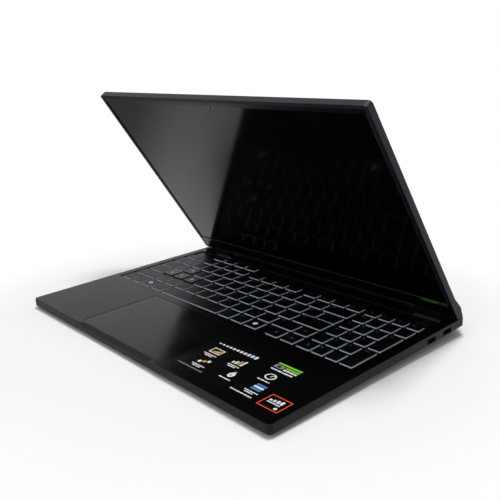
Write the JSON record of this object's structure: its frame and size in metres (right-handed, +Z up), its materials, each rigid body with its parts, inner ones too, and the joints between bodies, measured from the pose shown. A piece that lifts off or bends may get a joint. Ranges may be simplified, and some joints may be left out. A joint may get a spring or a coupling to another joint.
{
  "type": "laptop computer",
  "caption": "Hinged laptop computer with a wide screen, keyboard with number pad, touchpad and a raised exhaust behind the hinges.",
  "frame": {"origin": "middle of the footprint on the desk, under the feet", "axes": "+X to the user's right, +Y away from the user, +Z up; the deck tilts 1.6 degrees up to the rear"},
  "size_m": [0.3548, 0.269, 0.2207],
  "materials": {
    "deck_plastic": "satin moulded charcoal",
    "cover_plastic": "fine moulded grain",
    "lid_metal": "satin dark grey",
    "frame_plastic": "satin black",
    "screen": "half gloss, switched off",
    "cap_plastic": "black tops on pale sides",
    "game_cap": "clear smoke",
    "pad_glass": "silk touch surface",
    "foot_rubber": "matt",
    "steel": "plated",
    "copper": "bare copper",
    "fin_metal": "folded fins",
    "board": "circuit board",
    "cell_wrap": "black film",
    "dome_rubber": "grey silicone",
    "socket_metal": "stamped shells",
    "socket_plastic": "black"
  },
  "bodies": {
    "base": {"top_case": "deck_plastic", "bottom_cover": "cover_plastic", "exhaust_hump": "deck_plastic", "front_feet": "foot_rubber", "rear_foot": "foot_rubber", "bottom_screws": "steel", "key_frame": "frame_plastic", "keyboard_plate": "steel", "dome_sheet": "dome_rubber", "touchpad_bracket": "steel", "mainboard": "board", "cold_plate": "copper", "heat_pipes": "copper", "fin_stacks": "fin_metal", "fan_housing_left": "cover_plastic", "fan_housing_right": "cover_plastic", "battery": "cell_wrap", "solid_state_drive": "board", "memory_modules": "board", "wireless_card": "board", "speaker_left": "cover_plastic", "speaker_right": "cover_plastic", "power_socket": "socket_plastic", "network_socket": "socket_plastic", "hdmi_socket": "socket_metal", "usb_a_sockets": "socket_metal", "usb_c_sockets": "socket_metal", "audio_jack": "socket_plastic", "hinge_bracket_left": "steel", "hinge_bracket_right": "steel", "hinge_cover_left": "frame_plastic", "hinge_cover_right": "frame_plastic"},
    "lid": {"lid_cover": "lid_metal", "display_panel": "screen", "display_frame": "frame_plastic", "edge_gasket": "foot_rubber", "camera_module": "socket_plastic", "antennas": "copper", "hinge_arm_left": "steel", "hinge_arm_right": "steel"},
    "fan_rotor_left": {"fan_rotor_left": "socket_plastic"},
    "fan_rotor_right": {"fan_rotor_right": "socket_plastic"},
    "touchpad": {"touchpad": "pad_glass"},
    "power_button": {"power_button": "cap_plastic"},
    "hot_keys": {"hot_keys": "cap_plastic"},
    "function_keys": {"function_keys": "cap_plastic"},
    "number_keys": {"number_keys": "cap_plastic"},
    "upper_letter_keys": {"upper_letter_keys": "cap_plastic"},
    "middle_letter_keys": {"middle_letter_keys": "cap_plastic"},
    "lower_letter_keys": {"lower_letter_keys": "cap_plastic"},
    "game_keys": {"game_keys": "game_cap"},
    "modifier_keys": {"modifier_keys": "cap_plastic"},
    "space_bar": {"space_bar": "cap_plastic"},
    "enter_key": {"enter_key": "cap_plastic"},
    "arrow_keys": {"arrow_keys": "cap_plastic"},
    "pad_keys": {"pad_keys": "cap_plastic"}
  },
  "joints": [
    {"name": "lid_hinge", "type": "hinge", "parent": "base", "child": "lid", "pos_m": [0, 0.10652, 0.02234], "axis": [-1, 0, 0], "range_deg": [-56.2, 73.8]},
    {"name": "hot_press", "type": "slide", "parent": "base", "child": "hot_keys", "axis": [0, 0.0279, -0.9996], "range_m": [0, 0.0017], "stiffness_N_per_m": 1400, "springref_m": -0.0006},
    {"name": "function_press", "type": "slide", "parent": "base", "child": "function_keys", "axis": [0, 0.0279, -0.9996], "range_m": [0, 0.0017], "stiffness_N_per_m": 5950, "springref_m": -0.0006},
    {"name": "number_press", "type": "slide", "parent": "base", "child": "number_keys", "axis": [0, 0.0279, -0.9996], "range_m": [0, 0.0017], "stiffness_N_per_m": 4900, "springref_m": -0.0006},
    {"name": "upper_letter_press", "type": "slide", "parent": "base", "child": "upper_letter_keys", "axis": [0, 0.0279, -0.9996], "range_m": [0, 0.0017], "stiffness_N_per_m": 4550, "springref_m": -0.0006},
    {"name": "middle_letter_press", "type": "slide", "parent": "base", "child": "middle_letter_keys", "axis": [0, 0.0279, -0.9996], "range_m": [0, 0.0017], "stiffness_N_per_m": 3150, "springref_m": -0.0006},
    {"name": "lower_letter_press", "type": "slide", "parent": "base", "child": "lower_letter_keys", "axis": [0, 0.0279, -0.9996], "range_m": [0, 0.0017], "stiffness_N_per_m": 4200, "springref_m": -0.0006},
    {"name": "game_press", "type": "slide", "parent": "base", "child": "game_keys", "axis": [0, 0.0279, -0.9996], "range_m": [0, 0.0017], "stiffness_N_per_m": 1400, "springref_m": -0.0006},
    {"name": "modifier_press", "type": "slide", "parent": "base", "child": "modifier_keys", "axis": [0, 0.0279, -0.9996], "range_m": [0, 0.0017], "stiffness_N_per_m": 2450, "springref_m": -0.0006},
    {"name": "space_bar_press", "type": "slide", "parent": "base", "child": "space_bar", "axis": [0, 0.0279, -0.9996], "range_m": [0, 0.0017], "stiffness_N_per_m": 400, "springref_m": -0.0006},
    {"name": "enter_press", "type": "slide", "parent": "base", "child": "enter_key", "axis": [0, 0.0279, -0.9996], "range_m": [0, 0.0017], "stiffness_N_per_m": 400, "springref_m": -0.0006},
    {"name": "arrow_press", "type": "slide", "parent": "base", "child": "arrow_keys", "axis": [0, 0.0279, -0.9996], "range_m": [0, 0.0017], "stiffness_N_per_m": 1400, "springref_m": -0.0006},
    {"name": "pad_press", "type": "slide", "parent": "base", "child": "pad_keys", "axis": [0, 0.0279, -0.9996], "range_m": [0, 0.0017], "stiffness_N_per_m": 5950, "springref_m": -0.0006},
    {"name": "power_press", "type": "slide", "parent": "base", "child": "power_button", "axis": [0, 0.0279, -0.9996], "range_m": [0, 0.0012], "stiffness_N_per_m": 500, "springref_m": -0.0006},
    {"name": "touchpad_click", "type": "hinge", "parent": "base", "child": "touchpad", "pos_m": [-0.0195, -0.04256, 0.01252], "axis": [1, 0, 0], "range_deg": [0, 0.2318], "stiffness_Nm_per_rad": 30, "springref_deg": -0.23},
    {"name": "fan_spin_left", "type": "hinge", "parent": "base", "child": "fan_rotor_left", "pos_m": [-0.111, 0.05759, 0.00846], "axis": [0, -0.0279, 0.9996], "continuous": true},
    {"name": "fan_spin_right", "type": "hinge", "parent": "base", "child": "fan_rotor_right", "pos_m": [0.111, 0.05759, 0.00846], "axis": [0, -0.0279, 0.9996], "continuous": true}
  ]
}
